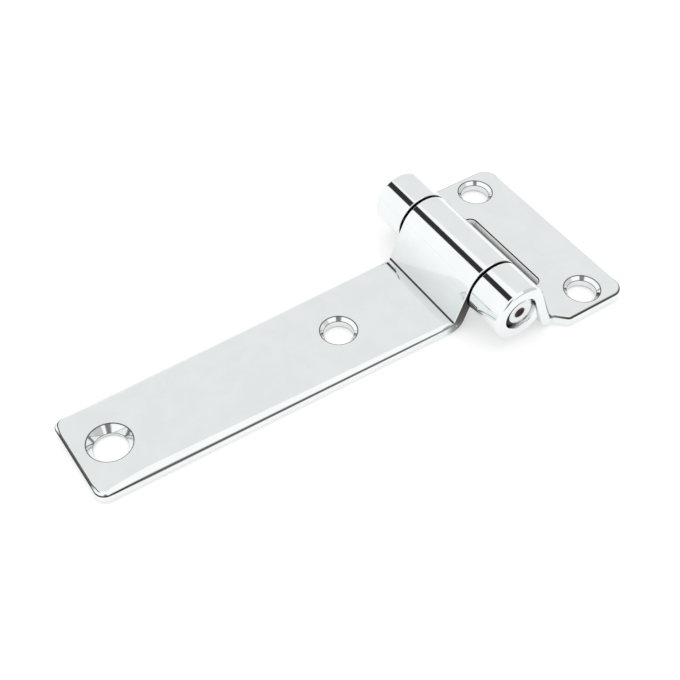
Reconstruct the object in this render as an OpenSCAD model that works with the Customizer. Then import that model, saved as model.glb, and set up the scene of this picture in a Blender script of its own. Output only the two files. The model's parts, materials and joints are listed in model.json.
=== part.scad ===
// T hinge of thick polished sheet.
// A long strap leaf and a short, wide tee leaf are each blanked flat, bent up
// at a crease and rolled into knuckles around one solid pin. The pin grips in
// the two outer knuckles of the tee leaf, and the strap's middle knuckle turns
// on it. Drawn open flat, with both leaves lying on the mounting surface.
//
// Units are millimetres. +X runs from the strap towards the tee leaf, +Y along
// the pin, +Z away from the mounting surface. The origin is midway between the
// two screw holes of the tee leaf, on the mounting surface.

/* [Sheet] */
// Thickness of the sheet that both leaves are made of
sheet_t = 3.2; // [2.8:0.1:3.6]
// Inside radius of the bend where a leaf turns up towards the pin
crease_r = 0.8; // [0.4:0.1:1.5]
// Slope of the riser between the crease and the knuckle, in degrees
riser_angle = 70; // [62:1:76]

/* [Knuckles and pin] */
// Outside radius of every knuckle
knuckle_r = 8; // [7.5:0.1:9]
// Length of the whole row of knuckles, end to end
knuckle_row = 54.4; // [50:0.2:58]
// Gap between the middle knuckle and each outer knuckle
knuckle_gap = 0.5; // [0.3:0.05:0.8]
// Radial clearance of the middle knuckle on the pin
pin_clearance = 0.05; // [0.02:0.01:0.1]
// Radial grip of the outer knuckles on the pin
pin_grip = 0.01; // [0:0.005:0.02]
// Distance of each pin end below the end of its knuckle
pin_recess = 0.8; // [0.4:0.1:1.5]
// Width of the slit where a rolled end stops short of its own riser
seam_gap = 0.25; // [0.15:0.05:0.4]

/* [Strap leaf] */
// Distance from the pin to the free end of the strap
strap_reach = 113.5; // [100:0.5:130]
// Width of the strap at its knuckle
strap_w = 30; // [26:0.5:34]
// Width of the strap at its free end
strap_tip_w = 27.4; // [24:0.2:30]
// Corner radius of the free end
strap_corner_r = 3; // [1.5:0.5:6]
// Distance from the pin to the outer screw hole
strap_outer_hole_x = 104; // [95:0.5:106]
// Distance from the pin to the inner screw hole
strap_inner_hole_x = 38; // [28:0.5:60]

/* [Tee leaf] */
// Distance from the pin to the far edge of the tee leaf
tee_reach = 35.2; // [34:0.2:42]
// Width of the tee plate, across the strap's direction
tee_w = 60.4; // [59:0.2:66]
// Corner radius of the tee plate
tee_corner_r = 4; // [2:0.5:6]
// Distance from the pin to the far edge of the slot between the arms
slot_reach = 17.8; // [17:0.1:19]
// Corner radius of the slot
slot_corner_r = 2; // [1:0.5:3]
// Distance from the pin to the two screw holes
tee_hole_x = 25.2; // [24:0.2:28]
// Distance between the two screw holes
tee_hole_spacing = 47; // [45:0.5:49]

/* [Screw holes] */
// Radius of the inner strap hole and the tee holes
hole_r = 4; // [3:0.1:4.3]
// Radius of their countersunk rims
hole_rim_r = 5; // [4.4:0.1:5.4]
// Radius of the hole at the strap's free end
end_hole_r = 4.4; // [3.5:0.1:4.8]
// Radius of its countersunk rim
end_hole_rim_r = 5.8; // [5:0.1:6.2]
// Depth of its countersink
end_hole_sink = 2.2; // [1:0.1:2.4]

/* [Hidden] */

round_fn = 96;
arc_steps = 10;
over = 1;                                      // how far a cutter passes a face
tuck = 0.02;                                   // riser face lies this far inside the knuckle's
pin_r = knuckle_r - sheet_t - pin_clearance;   // the rolled sheet's inner radius less clearance
pin_z = sheet_t + knuckle_r;                   // underside of the knuckles is level with the plates' tops
pin_half = knuckle_row / 2 - pin_recess;
pin_end_round = 0.9;
centre_mark_r = 1.5;
centre_mark_depth = 0.5;
middle_half = strap_w / 2;                     // half length of the middle knuckle
slot_half = middle_half + knuckle_gap;

// The crease's bend is centred outside the riser and above the plate
riser_outer_d = knuckle_r - tuck;
seam_top = 1;                                  // the seam opens into the bore this far down the riser
bend_d = riser_outer_d + crease_r;
bend_z = sheet_t + crease_r;
bend_along = (pin_z - bend_z + bend_d * cos(riser_angle)) / sin(riser_angle);
bend_x = bend_d * sin(riser_angle) + bend_along * cos(riser_angle);

// A point of the riser's own axes: d out from the pin along the riser's normal, c down its slope
function riser_point(d, c) = [
    d * sin(riser_angle) + c * cos(riser_angle),
    pin_z + d * cos(riser_angle) - c * sin(riser_angle)
];

// Points of an arc, from angle a0 to angle a1
function arc(centre, r, a0, a1, steps = arc_steps) = [
    for (i = [0 : steps]) let (a = a0 + (a1 - a0) * i / steps)
        centre + r * [cos(a), sin(a)]
];

// Side view of a leaf on the +X side of the pin: plate, crease, riser and rolled knuckle
module leaf_profile(reach) {
    riser_side = 270 - riser_angle;
    knuckle_roll();
    polygon(concat(
        [[reach, 0], [reach, sheet_t]],
        arc([bend_x, bend_z], crease_r, 270, riser_side),
        [riser_point(riser_outer_d, 0), riser_point(riser_outer_d - sheet_t, 0)],
        arc([bend_x, bend_z], crease_r + sheet_t, riser_side, 270)
    ));
}

// The roll itself, open where its end stops short of the riser's inner face
module knuckle_roll() {
    seam_d = riser_outer_d - sheet_t - seam_gap;
    difference() {
        translate([0, pin_z]) circle(r = knuckle_r, $fn = round_fn);
        polygon([
            riser_point(seam_d, seam_top),
            riser_point(riser_outer_d - seam_gap, seam_top),
            riser_point(riser_outer_d - seam_gap, 2 * knuckle_r),
            riser_point(seam_d, 2 * knuckle_r)
        ]);
    }
}

// The side view drawn out along the pin
module rolled_sheet(reach, width) {
    rotate([90, 0, 0])
        linear_extrude(height = width, center = true)
            leaf_profile(reach);
}

// A cylinder along the pin line, from y0 to y1
module along_pin(r, y0, y1) {
    translate([0, y1, pin_z])
        rotate([90, 0, 0])
            cylinder(h = y1 - y0, r = r, $fn = round_fn);
}

// A countersunk screw hole through a plate
module screw_hole(r, rim_r, sink) {
    translate([0, 0, -over])
        cylinder(h = sheet_t + 2 * over, r = r, $fn = round_fn);
    translate([0, 0, sheet_t - sink])
        cylinder(h = sink, r1 = r, r2 = rim_r, $fn = round_fn);
    translate([0, 0, sheet_t])
        cylinder(h = over, r = rim_r, $fn = round_fn);
}

// Outline of the strap from above, its free end towards +X before it is turned round
module strap_outline() {
    w0 = strap_w / 2;
    w1 = strap_tip_w / 2;
    r = strap_corner_r;
    taper = atan((w0 - w1) / (strap_reach - bend_x));
    corner_y = w1 - r / cos(taper) + r * tan(taper);
    top = concat(
        [[bend_x, w0]],
        arc([strap_reach - r, corner_y], r, 90 - taper, 0)
    );
    bottom = [for (i = [len(top) - 1 : -1 : 0]) [top[i][0], -top[i][1]]];
    polygon(concat([[-knuckle_r - over, w0]], top, bottom, [[-knuckle_r - over, -w0]]));
}

// Outline of the tee leaf from above: knuckle row, flare to the full plate width, round corners
module tee_outline() {
    w0 = knuckle_row / 2;
    w1 = tee_w / 2;
    r = tee_corner_r;
    flare_x = bend_x + 0.3;
    top = concat(
        [[-knuckle_r - over, w0], [flare_x, w0], [flare_x + w1 - w0, w1]],
        arc([tee_reach - r, w1 - r], r, 90, 0)
    );
    bottom = [for (i = [len(top) - 1 : -1 : 0]) [top[i][0], -top[i][1]]];
    polygon(concat(top, bottom));
}

// Slot between the tee leaf's two arms, which clears the strap's knuckle
module tee_slot() {
    r = slot_corner_r;
    polygon(concat(
        [[-knuckle_r - 2 * over, -slot_half]],
        arc([slot_reach - r, r - slot_half], r, -90, 0),
        arc([slot_reach - r, slot_half - r], r, 0, 90),
        [[-knuckle_r - 2 * over, slot_half]]
    ));
}

// Lift a top view through the whole height of the hinge
module full_height() {
    translate([0, 0, -over])
        linear_extrude(height = pin_z + knuckle_r + 2 * over)
            children();
}

// Everything is drawn about the pin and then placed on the tee holes' centre
module place() {
    translate([-tee_hole_x, 0, 0]) children();
}

// Long leaf: tapered strap, two screw holes and the middle knuckle
module strap_leaf() {
    color([0.80, 0.81, 0.82]) place() rotate([0, 0, 180])
        difference() {
            intersection() {
                rolled_sheet(strap_reach + over, strap_w + 2 * over);
                full_height() strap_outline();
            }
            along_pin(pin_r + pin_clearance, -middle_half - over, middle_half + over);
            translate([strap_outer_hole_x, 0, 0])
                screw_hole(end_hole_r, end_hole_rim_r, end_hole_sink);
            translate([strap_inner_hole_x, 0, 0])
                screw_hole(hole_r, hole_rim_r, hole_rim_r - hole_r);
        }
}

// Wide leaf: plate with two screw holes, slot, and the two outer knuckles
module tee_leaf() {
    color([0.76, 0.78, 0.79]) place()
        difference() {
            intersection() {
                rolled_sheet(tee_reach + over, tee_w + 2 * over);
                full_height() tee_outline();
            }
            full_height() tee_slot();
            along_pin(pin_r - pin_grip, -tee_w / 2 - over, tee_w / 2 + over);
            for (side = [-1, 1])
                translate([tee_hole_x, side * tee_hole_spacing / 2, 0])
                    screw_hole(hole_r, hole_rim_r, hole_rim_r - hole_r);
        }
}

// Solid pin with rounded ends, each with a shallow centre mark
module hinge_pin() {
    inner = pin_r - pin_end_round;
    half_outline = concat(
        [[0, pin_half - centre_mark_depth], [centre_mark_r, pin_half]],
        arc([inner, pin_half - pin_end_round], pin_end_round, 90, 0),
        arc([inner, pin_end_round - pin_half], pin_end_round, 0, -90),
        [[centre_mark_r, -pin_half], [0, centre_mark_depth - pin_half]]
    );
    color([0.70, 0.71, 0.73]) place()
        translate([0, 0, pin_z]) rotate([90, 0, 0])
            rotate_extrude($fn = round_fn)
                polygon(half_outline);
}

strap_leaf();
tee_leaf();
hinge_pin();
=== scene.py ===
"""Looks of the T hinge: two leaves of thick polished sheet rolled round a solid pin.

Each leaf is made as the real one is. A flat blank with rounded edges and countersunk holes is drawn in
(s, y, n), where s runs along the strip from the crease, y across it and n from its back face to its front
face. The blank is then creased, turned up and rolled round the pin. Lengths are in millimetres until a mesh
is written in metres.
"""

import json
from math import acos, atan2, ceil, cos, hypot, pi, radians, sin, tan

import bpy
from mathutils import Matrix, Vector
from mathutils.geometry import delaunay_2d_cdt


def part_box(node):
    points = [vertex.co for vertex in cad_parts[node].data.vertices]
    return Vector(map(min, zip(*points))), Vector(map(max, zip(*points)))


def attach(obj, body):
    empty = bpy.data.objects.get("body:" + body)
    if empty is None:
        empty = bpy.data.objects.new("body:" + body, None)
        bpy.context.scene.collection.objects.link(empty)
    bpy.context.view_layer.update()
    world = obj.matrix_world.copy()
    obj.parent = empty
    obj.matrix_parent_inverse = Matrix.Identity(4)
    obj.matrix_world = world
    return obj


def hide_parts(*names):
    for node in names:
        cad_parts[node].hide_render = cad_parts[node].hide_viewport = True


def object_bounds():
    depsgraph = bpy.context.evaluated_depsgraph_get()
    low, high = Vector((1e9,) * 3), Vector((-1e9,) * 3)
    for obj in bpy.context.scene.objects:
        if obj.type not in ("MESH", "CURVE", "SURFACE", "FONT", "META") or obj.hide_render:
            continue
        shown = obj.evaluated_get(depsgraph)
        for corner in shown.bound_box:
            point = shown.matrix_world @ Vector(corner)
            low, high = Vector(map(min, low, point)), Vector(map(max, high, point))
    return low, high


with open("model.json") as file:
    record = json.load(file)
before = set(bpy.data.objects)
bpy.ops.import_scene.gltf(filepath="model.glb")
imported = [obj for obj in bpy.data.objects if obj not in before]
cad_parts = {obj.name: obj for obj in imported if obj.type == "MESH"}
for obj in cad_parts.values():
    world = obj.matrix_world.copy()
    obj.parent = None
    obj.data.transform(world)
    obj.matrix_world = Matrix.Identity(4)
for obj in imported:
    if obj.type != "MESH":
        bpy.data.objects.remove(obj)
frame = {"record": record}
cad_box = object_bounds()


def node_box(node):
    """Lowest and highest corner of a CAD node, in millimetres."""
    return [corner * 1000 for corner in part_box(node)]


pin_lo, pin_hi = node_box("hinge_pin")
strap_lo, strap_hi = node_box("strap_leaf")
tee_lo, tee_hi = node_box("tee_leaf")
mounts = {m["name"]: m for m in frame["record"]["mounts"]}

PIN_X = (pin_lo.x + pin_hi.x) / 2
PIN_Z = (pin_lo.z + pin_hi.z) / 2
PIN_R = (pin_hi.z - pin_lo.z) / 2

SHEET = 3.2
CREASE = 0.8  # inside radius of the crease
RISE = radians(70)
SEAM = 0.25  # slit between the rolled end and the riser
KNUCKLE = min(strap_hi.z, tee_hi.z) - PIN_Z - 0.01
TEE_ROW = 27.2  # half length of the row of knuckles
TIP = 13.7  # half width of the strap's free end
TIP_CORNER = 3.0
TEE_CORNER = 4.0
FLARE_START = 0.3  # where the tee plate starts to widen, from the crease
SLOT_GAP = 0.5  # clearance between the middle knuckle and each arm
SLOT_FAR = 17.8  # the slot's far wall, from the pin
SLOT_CORNER = 2.0
MARK_R = 1.4  # centre mark in each end of the pin
MARK_DEPTH = 0.6
PIN_END_ROUND = 1.4

# Painted shade: how dark the colour is painted where the gaps, the bore, the crease and the riser's foot
# would lie in shade or reflect it. The slot's far wall fades from black to bright, and its value also marks
# it.
SLOT_WALL = 0.75
SLOT_WALL_TOP = 0.15
CREASE_PAINTED_SHADE = 0.92
RISER_PAINTED_SHADE = 0.2

# The strip's sections: plate (s above 0), crease, riser, roll. The roll turns through 310 degrees.
CREASE_Z = SHEET + CREASE
CREASE_D = KNUCKLE + CREASE
RISER = (PIN_Z - CREASE_Z + CREASE_D * cos(RISE)) / sin(RISE)
CREASE_X = CREASE_D * sin(RISE) + RISER * cos(RISE)
S_RISER = -(CREASE + SHEET / 2) * RISE
S_ROLL = S_RISER - RISER
ROLL_LENGTH = (KNUCKLE - SHEET / 2) * radians(310)
S_TAIL = S_ROLL - ROLL_LENGTH
TAIL_CLEAR = 1.2  # the last bend line stays this far from the rolled end, clear of its corners


def folded(s, n):
    """Where a point of the strip's side view comes to lie, as x from the pin and z."""
    if s >= 0:
        return CREASE_X + s, n
    if s > S_RISER:
        a = RISE * s / S_RISER
        r = CREASE_Z - n
        return CREASE_X - r * sin(a), CREASE_Z - r * cos(a)
    r = KNUCKLE - SHEET + n
    if s >= S_ROLL:
        down = s - S_ROLL
        return r * sin(RISE) + down * cos(RISE), PIN_Z + r * cos(RISE) - down * sin(RISE)
    start = pi / 2 - RISE
    end = start + 2 * pi - acos((KNUCKLE - SHEET - SEAM) / r)
    a = start + (end - start) * (S_ROLL - s) / ROLL_LENGTH
    return r * cos(a), PIN_Z + r * sin(a)


def bent(s, y, n, normal):
    """A point of the blank and its surface normal, both carried through the bends."""
    x, z = folded(s, n)
    d = 1e-4
    xs, zs = folded(s + d, n)
    if s >= 0 or s + d >= 0:
        xs, zs = x + d, z
    xn, zn = folded(s, n + d)
    a, b, c, e = (xs - x) / d, (xn - x) / d, (zs - z) / d, (zn - z) / d
    det = a * e - b * c
    ns, ny, nn = normal
    turned = Vector(((e * ns - c * nn) / det, ny, (a * nn - b * ns) / det))
    return Vector((x, y, z)), turned.normalized()


def rounded(points, closed=False, arc_step=radians(9)):
    """A 2-D path with its corners rounded, as [(u, v, normal u, normal v, extras)].

    The normal is on the path's right. A point is (u, v, corner radius, *extras).
    """
    made = []
    count = len(points)
    for i, (u, v, r, *extras) in enumerate(points):
        here = Vector((u, v))
        before = Vector(points[i - 1][:2]) if closed or i else None
        after = Vector(points[(i + 1) % count][:2]) if closed or i < count - 1 else None
        d1 = (here - before).normalized() if before is not None else (after - here).normalized()
        d2 = (after - here).normalized() if after is not None else d1
        turn = atan2(d1.x * d2.y - d1.y * d2.x, d1.dot(d2))
        if r == 0 or abs(turn) < 1e-3:
            d = (d1 + d2).normalized()
            made.append((u, v, d.y, -d.x, extras))
            continue
        side = 1 if turn > 0 else -1
        start = here - d1 * (r * tan(abs(turn) / 2))
        centre = start + Vector((-d1.y, d1.x)) * (r * side)
        steps = max(3, ceil(abs(turn) / arc_step))
        for k in range(steps + 1):
            a = turn * k / steps
            n = Vector((d1.y * cos(a) + d1.x * sin(a), d1.y * sin(a) - d1.x * cos(a)))
            made.append((*(centre + n * (r * side)), n.x, n.y, extras))
    return made


def with_stations(path, stations):
    """The closed path with a point added wherever a straight side passes one of the stations along s."""
    made = []
    for i, here in enumerate(path):
        made.append(here)
        after = path[(i + 1) % len(path)]
        span = after[0] - here[0]
        if abs(span) < 1e-6:
            continue
        inside = [s for s in stations if min(here[0], after[0]) + 1e-3 < s < max(here[0], after[0]) - 1e-3]
        rise = after[1] - here[1]
        length = hypot(span, rise)
        for s in sorted(inside, reverse=span < 0):
            f = (s - here[0]) / span
            extras = [p + (q - p) * f for p, q in zip(here[4], after[4])]
            made.append((s, here[1] + rise * f, rise / length, -span / length, extras))
    return made


def written(name, points, normals, shades, faces):
    """A mesh object with the given surface normals and painted shade, its faces turned to agree."""
    turned = []
    for f in faces:
        p = [points[i] for i in f]
        across = (p[1] - p[0]).cross(p[2] - p[0])
        if len(p) > 3:
            across = (p[2] - p[0]).cross(p[3] - p[1])
        outward = sum((normals[i] for i in f), Vector())
        turned.append(f if across.dot(outward) > 0 else f[::-1])
    mesh = bpy.data.meshes.new(name)
    mesh.from_pydata([p * 0.001 for p in points], [], turned)
    mesh.update()
    mesh.polygons.foreach_set("use_smooth", [True] * len(mesh.polygons))
    mesh.normals_split_custom_set_from_vertices(normals)
    # Each point's painted shade: how dark its colour is painted to stand in for shade and dark reflections
    mesh.attributes.new("unpolished", "FLOAT", "POINT").data.foreach_set("value", shades)
    piece = bpy.data.objects.new(name, mesh)
    bpy.context.collection.objects.link(piece)
    return piece


def edge_painted_shade(s, degrees, front, wide_front, side, line):
    """Painted shade on a leaf's edge, from -90 degrees at the back face to 90 at the front.

    The sides that face a neighbouring knuckle, the roll's bore, the tight crease and the riser's foot are
    painted darker as shade, and a thin painted dark reflection line follows the front edge.
    """
    # Painted shade in gaps, bore, crease and riser foot, and a painted dark reflection line on the front edge
    dark = side if degrees < 50 else 0.0
    if side == SLOT_WALL:
        dark = 1.0 if degrees < 60 else 0.0
        if front and degrees == 0:
            dark = SLOT_WALL_TOP
    if s < S_ROLL and degrees < -40 and side > 0:
        dark = 1.0
    if degrees > 60 and abs(s / S_RISER - 0.5) < 0.34:
        dark = CREASE_PAINTED_SHADE
    elif degrees > 60 and S_ROLL < s <= S_RISER:
        dark = RISER_PAINTED_SHADE * (s - S_ROLL) / RISER
    line_end = 40 if wide_front > 1.15 else 70
    return max(dark, line) if 20 < degrees < line_end else dark


def leaf(name, corners, holes, turn):
    """A whole leaf, turned about Z.

    corners go anticlockwise, as (s, y, corner radius, width of the front edge's rounding, width of the back
    edge's, painted shade on the side, painted dark reflection line on the front edge). holes are (s, y, side
    view of the wall with its painted shade).
    """
    crease_lines = [S_RISER * k / 14 for k in range(15)]
    riser_lines = [S_RISER - RISER * k / 3 for k in range(1, 4)]
    roll_lines = [S_ROLL - (ROLL_LENGTH - TAIL_CLEAR) * k / 88 for k in range(1, 89)]
    stations = crease_lines + riser_lines + roll_lines
    path = with_stations(rounded(corners, closed=True), stations)

    flat, points, normals, shades, faces = [], [], [], [], []

    def add(s, y, n, normal, shade):
        point, out = bent(s, y, n, normal)
        flat.append((s, y))
        shades.append(shade)
        points.append(point)
        normals.append(out)
        return len(points) - 1

    def join(rings):
        for low, high in zip(rings, rings[1:]):
            for i in range(len(low)):
                j = (i + 1) % len(low)
                faces.append((low[i], low[j], high[j], high[i]))

    # The edge all round, from the back face over the side to the front face
    steps = [(False, degrees) for degrees in range(-90, 1, 18)]
    steps += [(True, degrees) for degrees in range(0, 91, 9)]
    rings = []
    for front, degrees in steps:
        a = radians(degrees)
        ring = []
        for s, y, out_s, out_y, (wide_front, wide_back, side, line) in path:
            wide = wide_front if front else wide_back
            deep = min(wide, 1.1 + wide / 4)
            inset = wide * (1 - cos(a))
            n = SHEET - deep * (1 - sin(a)) if front else deep * (1 + sin(a))
            normal = (out_s * deep * cos(a), out_y * deep * cos(a), wide * sin(a))
            dark = edge_painted_shade(s, degrees, front, wide_front, side, line)
            ring.append(add(s - out_s * inset, y - out_y * inset, n, normal, dark))
        rings.append(ring)
    join(rings)

    # Each hole's wall, from the front rim to the back rim
    hole_rims = []
    for s0, y0, wall in holes:
        rings_in = []
        for r, n, out_r, out_n, (shade,) in rounded(wall):
            ring = []
            for k in range(72):
                a = 2 * pi * k / 72
                normal = (out_r * cos(a), out_r * sin(a), out_n)
                ring.append(add(s0 + r * cos(a), y0 + r * sin(a), n, normal, shade))
            rings_in.append(ring)
        join(rings_in)
        hole_rims.append((rings_in[0], rings_in[-1]))

    # The two faces, with a line across the strip at every station of the bends
    for outer, rims in ((rings[-1], [h[0] for h in hole_rims]), (rings[0], [h[1] for h in hole_rims])):
        used = outer + [i for rim in rims for i in rim]
        place = {v: k for k, v in enumerate(used)}
        lines = []
        for loop in [outer] + rims:
            lines += [(place[v], place[loop[(k + 1) % len(loop)]]) for k, v in enumerate(loop)]
        for station in stations:
            row = [v for v, p in zip(outer, path) if abs(p[0] - station) < 1e-6]
            row.sort(key=lambda v: flat[v][1])
            lines += [(place[a], place[b]) for a, b in zip(row[::2], row[1::2])]
        _, _, cells, origin, _, _ = delaunay_2d_cdt([Vector(flat[v]) for v in used], lines, [], 1, 1e-7)
        rim_of = {v: k for k, rim in enumerate(rims) for v in rim}
        for cell in cells:
            corner = [used[origin[k][0]] for k in cell]
            rim = {rim_of.get(v) for v in corner}
            if len(rim) == 1 and None not in rim:
                continue
            faces.append(tuple(corner))

    place = Matrix.Translation((PIN_X, 0, 0)) @ Matrix.Rotation(turn, 4, "Z")
    return written(name, [place @ p for p in points], [place.to_3x3() @ n for n in normals], shades, faces)


def turned_bar(name, outline, y_axis_at, crescent_from):
    """A bar turned about a line along Y.

    outline is a path of (radius, y, corner radius, painted shade), its outside on the right. Beyond the y
    given last, either way, the painted shade on the rims fades out towards the +X side, leaving a painted
    dark crescent on the -X side.
    """
    points, normals, shades, faces = [], [], [], []
    count = 96
    rows = []
    for r, y, out_r, out_y, (shade,) in rounded(outline, arc_step=radians(10)):
        row = []
        on_axis = r < 1e-6
        for k in range(1 if on_axis else count):
            a = 2 * pi * k / count
            points.append(Vector((y_axis_at[0] + r * cos(a), y, y_axis_at[1] + r * sin(a))))
            normal = (0, 1 if y > 0 else -1, 0) if on_axis else (out_r * cos(a), out_y, out_r * sin(a))
            normals.append(Vector(normal))
            # Painted shade on the end rims, kept to the -X side as a dark crescent
            rim = abs(y) >= crescent_from and r > 2
            shades.append(shade * min(1.0, max(0.0, 0.5 - 0.9 * cos(a))) if rim else shade)
            row.append(len(points) - 1)
        rows.append(row)
    for low, high in zip(rows, rows[1:]):
        for k in range(count):
            a, b = low[k % len(low)], low[(k + 1) % len(low)]
            c, d = high[(k + 1) % len(high)], high[k % len(high)]
            faces.append(tuple(dict.fromkeys((a, b, c, d))))
    return written(name, points, normals, shades, faces)


def countersunk(r, rim, sink):
    """Side view of a countersunk hole's wall, as corners (radius, n, corner radius, painted shade)."""
    slope = Vector((r - rim, -sink)).normalized()
    cone_top = Vector((rim, SHEET)) + slope * 0.22
    cone_foot = Vector((r, SHEET - sink)) - slope * 0.16
    # The last number is painted shade: painted dark reflection lines at the front rim, the cone's foot and
    # the back edge, and a faint painted shade on the wall between.
    return [
        (rim + 0.45, SHEET, 0, 0.0),
        (rim + 0.2, SHEET, 0, 0.0),
        (rim, SHEET, 0.25, 0.9),
        (*cone_top, 0, 0.0),
        (*cone_foot, 0, 0.0),
        (r, SHEET - sink, 0.15, 0.8),
        (r, SHEET - sink - 0.2, 0, 0.1),
        (r, 0.5, 0, 0.1),
        (r, 0, 0.2, 0.5),
        (r + 0.6, 0, 0, 0.0),
    ]


# --- the pieces -----------------------------------------------------------------------------------

strap_end = PIN_X - strap_lo.x - CREASE_X
half = strap_hi.y
holes = []
for mount, rim, sink in (("strap_inner_screw", 5.0, 1.0), ("strap_end_screw", 5.8, 2.2)):
    s = PIN_X - mounts[mount]["pos_m"][0] * 1000 - CREASE_X
    holes.append((s, 0, countersunk(mounts[mount]["dims"]["r_mm"], rim, sink)))


def strap_half(s):
    """Half width of the tapering strap."""
    return half + (TIP - half) * s / strap_end


def mirrored(side):
    """The outline of one side, from the tail to the end, followed by its mirror image back again."""
    return [(s, -y, *rest) for s, y, *rest in side] + [(s, y, *rest) for s, y, *rest in side[::-1]]


# In each corner the last two numbers are painted shade: the first darkens the sides beside the tee's
# knuckles, the roll and the crease, the second paints a dark reflection line along the front edge.
strap = leaf(
    "strap_leaf_sheet",
    mirrored(
        [
            (S_TAIL, half, 0.6, 0.4, 0.3, 1.0, 0.0),
            (S_ROLL, half, 0, 0.6, 0.3, 1.0, 0.0),
            (S_RISER, half, 0, 0.8, 0.4, 0.9, 0.0),
            (0, half, 0, 1.2, 0.4, 0.6, 0.0),
            (2, strap_half(2), 0, 1.5, 0.4, 0.0, 0.6),
            (14, strap_half(14), 0, 1.8, 0.5, 0.0, 0.85),
            (strap_end - 14, strap_half(strap_end - 14), 0, 2.7, 0.6, 0.0, 0.9),
            (strap_end - 4, strap_half(strap_end - 4), 0, 1.7, 0.6, 0.0, 1.0),
            (strap_end, TIP, TIP_CORNER, 1.3, 0.5, 0.0, 1.0),
            (strap_end, TIP - 5, 0, 0.9, 0.5, 0.0, 0.95),
        ]
    ),
    holes,
    pi,
)
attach(strap, "strap")
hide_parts("strap_leaf")

tee_end = tee_hi.x - PIN_X - CREASE_X
tee_half = tee_hi.y
flare = tee_half - TEE_ROW
slot_half = half + SLOT_GAP
tee_screws = mounts["tee_screws"]
tee_hole_s = tee_screws["pos_m"][0] * 1000 - PIN_X - CREASE_X
tee_hole = countersunk(tee_screws["dims"]["hole_r_mm"], 5.0, 1.0)
# In each corner the last two numbers are painted shade: the slot's sides are painted dark, its far wall fades
# from black at the foot, and the outer edges carry a painted dark reflection line.
tee = leaf(
    "tee_leaf_sheet",
    [
        (S_TAIL, -TEE_ROW, 0.9, 0.8, 0.4, 0.0, 0.0),
        (S_ROLL, -TEE_ROW, 0, 1.1, 0.4, 0.0, 0.0),
        (FLARE_START, -TEE_ROW, 0.7, 0.9, 0.5, 0.0, 0.7),
        (FLARE_START + flare, -tee_half, 1.8, 0.8, 0.5, 0.0, 0.95),
        (tee_end, -tee_half, TEE_CORNER, 0.8, 0.5, 0.0, 0.9),
        (tee_end, 6 - tee_half, 0, 0.8, 0.5, 0.0, 0.0),
        (tee_end, tee_half - 6, 0, 0.8, 0.5, 0.0, 0.0),
        (tee_end, tee_half, TEE_CORNER, 0.8, 0.5, 0.0, 0.9),
        (FLARE_START + flare, tee_half, 1.8, 0.8, 0.5, 0.0, 0.95),
        (FLARE_START, TEE_ROW, 0.7, 0.9, 0.5, 0.0, 0.7),
        (S_ROLL, TEE_ROW, 0, 1.1, 0.4, 0.0, 0.0),
        (S_TAIL, TEE_ROW, 0.9, 0.8, 0.4, 0.0, 0.0),
        (S_TAIL, slot_half, 0.6, 0.4, 0.3, 1.0, 0.0),
        (0, slot_half, 0, 0.5, 0.3, 1.0, 0.0),
        (SLOT_FAR - CREASE_X, slot_half, SLOT_CORNER, 0.4, 0.3, SLOT_WALL, 0.0),
        (SLOT_FAR - CREASE_X, -slot_half, SLOT_CORNER, 0.4, 0.3, SLOT_WALL, 0.0),
        (0, -slot_half, 0, 0.5, 0.3, 1.0, 0.0),
        (S_TAIL, -slot_half, 0.6, 0.4, 0.3, 1.0, 0.0),
    ],
    [(tee_hole_s, side * tee_screws["dims"]["spacing_y_mm"] / 2, tee_hole) for side in (-1, 1)],
    0,
)
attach(tee, "tee")
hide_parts("tee_leaf")

end = pin_hi.y
# The last number is painted shade: the centre mark and the rounded rim of each end are painted dark.
bar_end = [
    (0, end - MARK_DEPTH, 0, 1.0),
    (MARK_R, end, 0.15, 1.0),
    (MARK_R + 0.4, end, 0, 0.0),
    (PIN_R - PIN_END_ROUND - 0.1, end, 0, 0.0),
    (PIN_R, end, PIN_END_ROUND, 1.0),
]
near_end = [(r, -y, *rest) for r, y, *rest in bar_end]
pin = turned_bar("hinge_pin_bar", near_end + bar_end[::-1], (PIN_X, PIN_Z), end - 1.2)
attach(pin, "tee")
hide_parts("hinge_pin")


# --- materials ------------------------------------------------------------------------------------


class Nodes:
    """Shorthand for building a node tree."""

    def __init__(self, tree):
        self.tree = tree
        tree.nodes.clear()

    def add(self, kind, inputs=(), **settings):
        node = self.tree.nodes.new(kind)
        for key, value in settings.items():
            setattr(node, key, value)
        for key, value in dict(inputs).items():
            if isinstance(value, bpy.types.NodeSocket):
                self.tree.links.new(value, node.inputs[key])
            else:
                node.inputs[key].default_value = value
        return node

    def maths(self, operation, a, b=0.0):
        return self.add("ShaderNodeMath", {0: a, 1: b}, operation=operation).outputs[0]

    def product(self, first, *others):
        for other in others:
            first = self.maths("MULTIPLY", first, other)
        return first

    def ramp(self, value, low, high, to_low, to_high):
        node = self.add(
            "ShaderNodeMapRange",
            {"Value": value, "From Min": low, "From Max": high, "To Min": to_low, "To Max": to_high},
            interpolation_type="SMOOTHSTEP",
        )
        return node.outputs["Result"]

    def colours(self, factor, first, second):
        """The first colour where factor is 0 and the second where it is 1."""
        return self.add("ShaderNodeMix", {"Factor": factor, 6: first, 7: second}, data_type="RGBA").outputs[2]

    def noise(self, vector, scale, detail=3.0, rough=0.5):
        inputs = {"Vector": vector, "Scale": scale, "Detail": detail, "Roughness": rough}
        return self.add("ShaderNodeTexNoise", inputs).outputs["Fac"]


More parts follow.
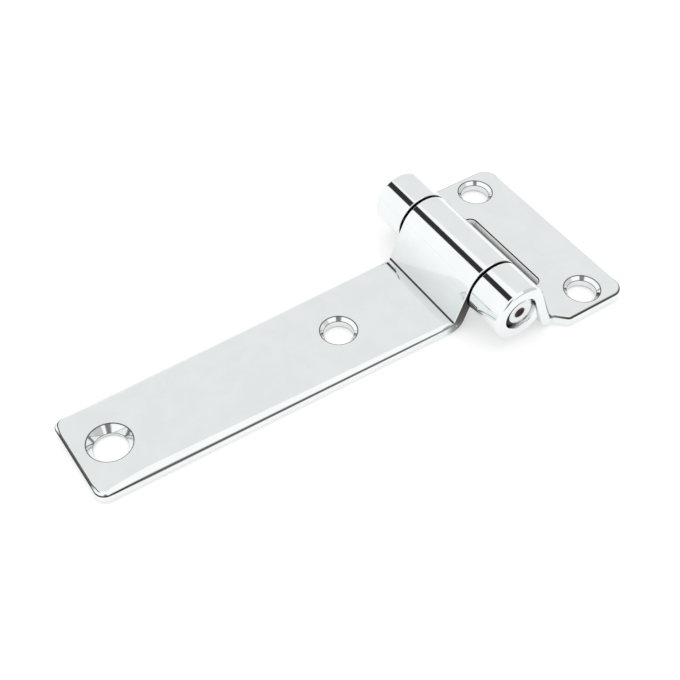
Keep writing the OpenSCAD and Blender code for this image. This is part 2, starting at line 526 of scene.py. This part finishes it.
def polished_steel(name, dark, light, rough, grain):
    """Polished steel: a soft waviness, fine buffing lines along the grain and slightly uneven gloss, with
    each point's painted shade mixed in as a dark colour.
    """
    material = bpy.data.materials.new(name)
    material.use_nodes = True
    n = Nodes(material.node_tree)
    place = n.add("ShaderNodeTexCoord").outputs["Object"]
    cloud = n.noise(place, 180, 4.0, 0.55)
    along = n.add("ShaderNodeMapping", {"Vector": place, "Scale": grain}).outputs[0]
    lines = n.noise(along, 1.0, 6.0, 0.7)
    tint = n.colours(n.ramp(cloud, 0.3, 0.7, 0, 1), dark, light)
    # Painted shade and painted reflection lines from each point's painted value: mixed towards a dark
    # brownish colour and made rougher
    painted_shade_mask = n.add("ShaderNodeAttribute", attribute_name="unpolished").outputs["Fac"]
    tint = n.colours(painted_shade_mask, tint, (0.030, 0.024, 0.019, 1))
    gloss = n.ramp(cloud, 0.3, 0.75, rough * 0.8, rough * 1.2)
    gloss = n.maths("ADD", gloss, n.ramp(lines, 0.45, 0.8, 0, 0.035))
    gloss = n.maths("ADD", gloss, n.product(painted_shade_mask, 0.3))
    waves = n.noise(place, 110, 2.0, 0.4)
    wave = n.add("ShaderNodeBump", {"Strength": 0.3, "Distance": 0.00002, "Height": waves})
    fine = n.add(
        "ShaderNodeBump",
        {"Strength": 0.18, "Distance": 0.000004, "Height": lines, "Normal": wave.outputs[0]},
    )
    shader = n.add(
        "ShaderNodeBsdfPrincipled",
        {"Metallic": 1.0, "Base Color": tint, "Roughness": gloss, "Normal": fine.outputs[0]},
    )
    n.add("ShaderNodeOutputMaterial", {"Surface": shader.outputs[0]})
    return material


leaf_steel = polished_steel(
    "leaf_steel_polish", (0.82, 0.85, 0.85, 1), (0.85, 0.875, 0.875, 1), 0.06, (90, 2600, 2600)
)
pin_steel = polished_steel(
    "pin_steel_polish", (0.70, 0.72, 0.73, 1), (0.80, 0.81, 0.82, 1), 0.12, (2600, 90, 2600)
)
for piece, material in ((strap, leaf_steel), (tee, leaf_steel), (pin, pin_steel)):
    piece.data.materials.append(material)

# --- floor, light and camera ----------------------------------------------------------------------

size = 4.0
floor_mesh = bpy.data.meshes.new("floor")
floor_mesh.from_pydata(
    [(-size, -size, 0), (size, -size, 0), (size, size, 0), (-size, size, 0)], [], [(0, 1, 2, 3)]
)
floor = bpy.data.objects.new("floor", floor_mesh)
floor.location = (0, 0, cad_box[0].z - 0.0002)
bpy.context.collection.objects.link(floor)
floor_paint = bpy.data.materials.new("floor_paint")
floor_paint.use_nodes = True
n = Nodes(floor_paint.node_tree)
place = n.add("ShaderNodeTexCoord").outputs["Object"]
tint = n.colours(n.noise(place, 3.0), (0.42, 0.42, 0.42, 1), (0.45, 0.45, 0.45, 1))
shader = n.add(
    "ShaderNodeBsdfPrincipled",
    {
        "Base Color": tint,
        "Roughness": 0.9,
        "Specular IOR Level": 0.0,
        "Emission Color": (1, 1, 1, 1),
        "Emission Strength": 0.54,
    },
)
n.add("ShaderNodeOutputMaterial", {"Surface": shader.outputs[0]})
floor_mesh.materials.append(floor_paint)

# A white tent with a pale grey panel over the far side. A dark seam runs along the panel's edge, and softer
# dark gaps stand in front, beside and behind. The camera itself sees only white.
world = bpy.data.worlds.new("studio")
bpy.context.scene.world = world
world.use_nodes = True
n = Nodes(world.node_tree)
way = n.add("ShaderNodeTexCoord").outputs["Generated"]
x, y, z = n.add("ShaderNodeSeparateXYZ", {0: way}).outputs
panel_edge = {0: way, 1: (0.919, 0.0, 0.394)}
across = n.add("ShaderNodeVectorMath", panel_edge, operation="DOT_PRODUCT").outputs["Value"]
far_side = n.maths("ADD", y, n.product(x, 0.5))
panel = n.product(n.ramp(across, 0.0, 0.08, 0, 1), n.ramp(far_side, 0.53, 0.6, 0, 1))
light = n.maths("SUBTRACT", 1.12, n.product(panel, 0.2))

off_edge = n.maths("ABSOLUTE", across)
seam = n.product(n.ramp(off_edge, 0.135, 0.17, 1, 0), n.ramp(y, 0.2, 0.4, 0, 1), n.ramp(z, 0.1, 0.3, 0, 1))
front = n.product(
    n.ramp(y, -0.75, -0.6, 0.45, 0), n.ramp(z, 0.42, 0.5, 1, 0), n.ramp(x, 0.0, 0.1, 0, 1)
)
beside = n.product(n.ramp(x, 0.42, 0.52, 0, 0.35), n.ramp(y, 0.15, 0.3, 1, 0))
behind = n.product(
    n.ramp(y, -0.5, -0.4, 0.8, 0), n.ramp(x, -0.25, -0.15, 1, 0), n.ramp(x, -0.65, -0.5, 0, 1)
)
dark = n.maths("MAXIMUM", n.maths("MAXIMUM", seam, front), n.maths("MAXIMUM", beside, behind))
light = n.product(light, n.maths("SUBTRACT", 1.0, n.product(dark, 0.97)))
seen = n.add("ShaderNodeLightPath").outputs["Is Camera Ray"]
light = n.maths("MAXIMUM", light, n.product(seen, 1.1))
tent = n.add("ShaderNodeBackground", {"Color": (1, 1, 1, 1), "Strength": light})
n.add("ShaderNodeOutputWorld", {"Surface": tent.outputs[0]})

key_data = bpy.data.lights.new("key", "AREA")
key_data.size = 1.6
key_data.energy = 9.0
key = bpy.data.objects.new("key", key_data)
key.location = (0, 0, 1.2)
key.visible_glossy = False
bpy.context.collection.objects.link(key)

camera_data = bpy.data.cameras.new("camera")
camera_data.sensor_width = 36
camera_data.lens = 62
camera = bpy.data.objects.new("camera", camera_data)
bpy.context.collection.objects.link(camera)
back = Vector((-0.365, -0.554, 0.748)).normalized()
right = Vector((back.y, -back.x, 0)).normalized() * -1
up = back.cross(right)
turn = Matrix((right, up, back)).transposed()
camera.matrix_world = Matrix.Translation((-0.1757, -0.1714, 0.2305)) @ turn.to_4x4()
bpy.context.scene.camera = camera
bpy.context.scene.view_settings.view_transform = "Standard"
